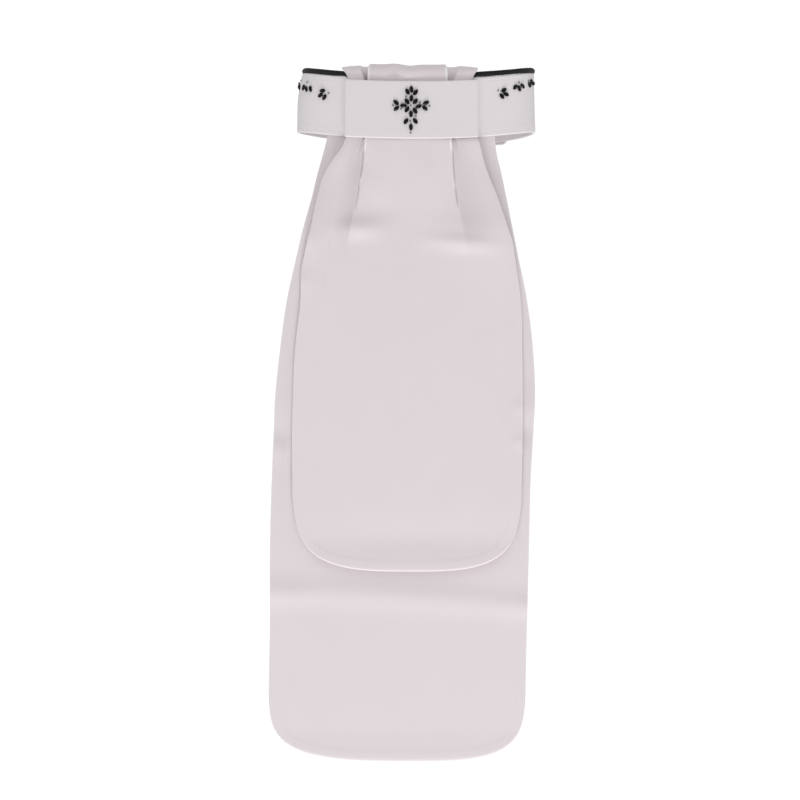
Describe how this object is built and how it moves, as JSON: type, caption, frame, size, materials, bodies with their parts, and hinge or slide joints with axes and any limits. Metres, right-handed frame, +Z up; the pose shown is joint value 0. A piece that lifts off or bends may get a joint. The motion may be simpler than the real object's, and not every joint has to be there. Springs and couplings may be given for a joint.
{
  "type": "neck stock",
  "caption": "Ready-tied neck stock: a piped collar band, a pleated tie folded over its front with a long back tail, a cross of cut stones on the front panel and stone sprigs along the band.",
  "frame": {"origin": "centre of the neck hollow, at the collar band's middle height", "axes": "+Z up along the neck, -Y towards the throat where the tie hangs, +Y towards the nape, +X to the right seen from the front"},
  "size_m": [0.1621, 0.0954, 0.4205],
  "materials": {
    "cotton_pique": "matt ribbed weave",
    "black_cord": "satin covered cord",
    "hook_tape": "matt loop pile",
    "jet_stone": "polished facets",
    "smoke_stone": "polished facets"
  },
  "bodies": {
    "root": {"collar_band": "cotton_pique", "front_panel": "cotton_pique", "front_tail": "cotton_pique", "back_tail": "cotton_pique", "piping": "black_cord", "fastening_patch": "hook_tape", "cross_bead_1": "smoke_stone", "cross_bead_2": "smoke_stone", "cross_bead_3": "smoke_stone", "cross_bead_4": "smoke_stone", "cross_bead_5": "smoke_stone", "cross_bead_6": "smoke_stone", "cross_bead_7": "smoke_stone", "cross_bead_8": "smoke_stone", "cross_bead_9": "smoke_stone", "cross_stone_1": "jet_stone", "cross_stone_2": "jet_stone", "cross_stone_3": "jet_stone", "cross_stone_4": "jet_stone", "cross_stone_5": "jet_stone", "cross_stone_6": "jet_stone", "cross_stone_7": "jet_stone", "cross_stone_8": "jet_stone", "cross_stone_9": "jet_stone", "cross_stone_10": "jet_stone", "cross_stone_11": "jet_stone", "cross_stone_12": "jet_stone", "cross_stone_13": "jet_stone", "cross_stone_14": "jet_stone", "cross_stone_15": "jet_stone", "cross_stone_16": "jet_stone", "cross_stone_17": "jet_stone", "cross_stone_18": "jet_stone", "sprig_left_1_bead": "smoke_stone", "sprig_left_1_lower": "jet_stone", "sprig_left_1_middle": "jet_stone", "sprig_left_1_upper": "jet_stone", "sprig_left_2_bead": "smoke_stone", "sprig_left_2_lower": "jet_stone", "sprig_left_2_middle": "jet_stone", "sprig_left_2_upper": "jet_stone", "sprig_left_3_bead": "smoke_stone", "sprig_left_3_lower": "jet_stone", "sprig_left_3_middle": "jet_stone", "sprig_left_3_upper": "jet_stone", "sprig_right_1_bead": "smoke_stone", "sprig_right_1_lower": "jet_stone", "sprig_right_1_middle": "jet_stone", "sprig_right_1_upper": "jet_stone", "sprig_right_2_bead": "smoke_stone", "sprig_right_2_lower": "jet_stone", "sprig_right_2_middle": "jet_stone", "sprig_right_2_upper": "jet_stone", "sprig_right_3_bead": "smoke_stone", "sprig_right_3_lower": "jet_stone", "sprig_right_3_middle": "jet_stone", "sprig_right_3_upper": "jet_stone"}
  },
  "joints": []
}
